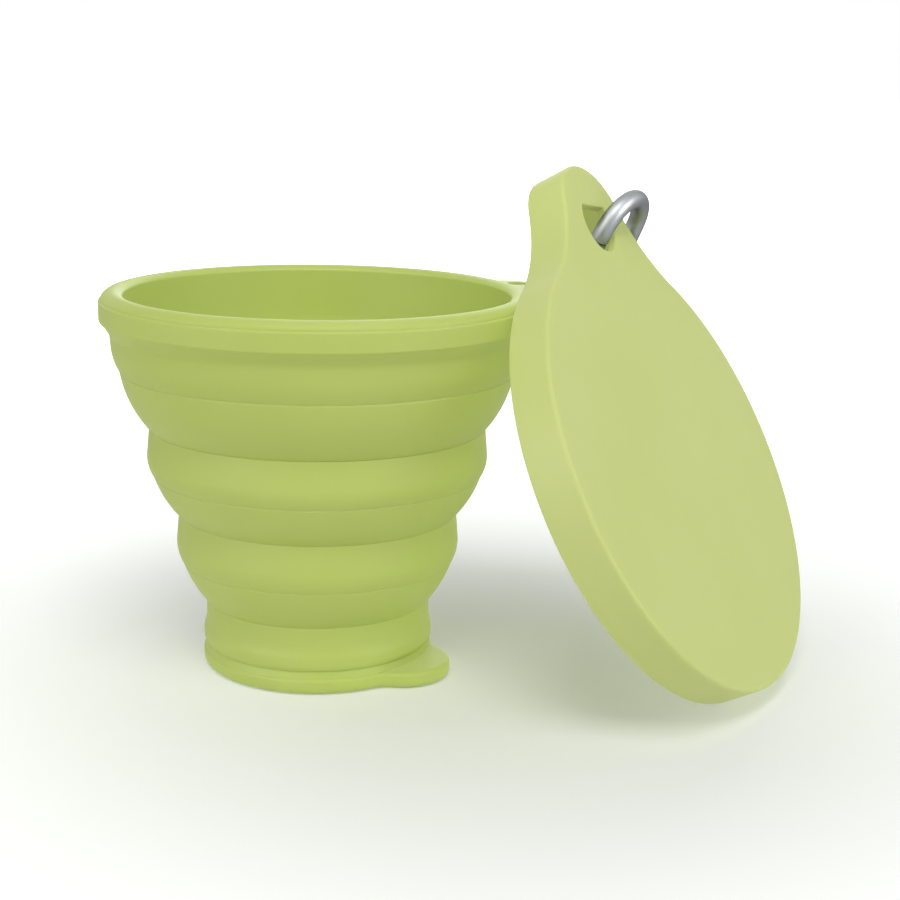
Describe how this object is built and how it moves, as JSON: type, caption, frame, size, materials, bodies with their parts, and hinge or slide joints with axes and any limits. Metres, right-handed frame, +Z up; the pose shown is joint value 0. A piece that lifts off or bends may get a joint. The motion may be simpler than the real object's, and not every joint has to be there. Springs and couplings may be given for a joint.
{
  "type": "collapsible travel cup",
  "caption": "Round folding silicone cup with stepped tiers, a teardrop lid leaning on its rim, and a small spring-gate carabiner through the hole in the lid's tab.",
  "frame": {"origin": "centre of the round foot's underside, on the floor", "axes": "+Z up along the cup's axis; the lid leans on the rim at +X, its face turned towards +X and -Y"},
  "size_m": [0.1525, 0.1041, 0.1058],
  "materials": {
    "silicone": "matt light green silicone",
    "lid_silicone": "matt light green silicone, a little paler",
    "satin_aluminium": "satin",
    "pin_steel": "satin"
  },
  "bodies": {
    "base": {"base_cup": "silicone"},
    "lower": {"lower_fold": "silicone", "lower_tier": "silicone"},
    "middle": {"middle_fold": "silicone", "middle_tier": "silicone"},
    "rim": {"upper_fold": "silicone", "rim_tier": "silicone"},
    "cover": {"lid": "lid_silicone"},
    "carabiner": {"carabiner_body": "satin_aluminium"},
    "gate": {"carabiner_gate": "satin_aluminium", "gate_hinge_pin": "pin_steel", "gate_latch_pin": "pin_steel", "gate_spring": "pin_steel", "spring_plunger": "pin_steel"}
  },
  "joints": [
    {"name": "lower_collapse", "type": "slide", "parent": "base", "child": "lower", "axis": [0, 0, -1], "range_m": [0, 0.0186], "deforming": ["lower_fold"]},
    {"name": "middle_collapse", "type": "slide", "parent": "lower", "child": "middle", "axis": [0, 0, -1], "range_m": [0, 0.0186], "deforming": ["middle_fold"]},
    {"name": "upper_collapse", "type": "slide", "parent": "middle", "child": "rim", "axis": [0, 0, -1], "range_m": [0, 0.0248], "deforming": ["upper_fold"]},
    {"name": "lid_lift", "type": "slide", "parent": "base", "child": "cover", "axis": [0.7447, -0.4744, 0.4695], "range_m": [0, 0.06]},
    {"name": "carabiner_swing", "type": "hinge", "parent": "cover", "child": "carabiner", "pos_m": [0.06483, 0.01356, 0.09173], "axis": [0.6069, 0.7907, 0.0801], "range_deg": [0, 12]},
    {"name": "gate_open", "type": "hinge", "parent": "carabiner", "child": "gate", "pos_m": [0.05463, 0.01309, 0.07537], "axis": [-0.7327, 0.5176, 0.4418], "range_deg": [0, 20], "stiffness_Nm_per_rad": 0.01, "springref_deg": -11.46}
  ]
}
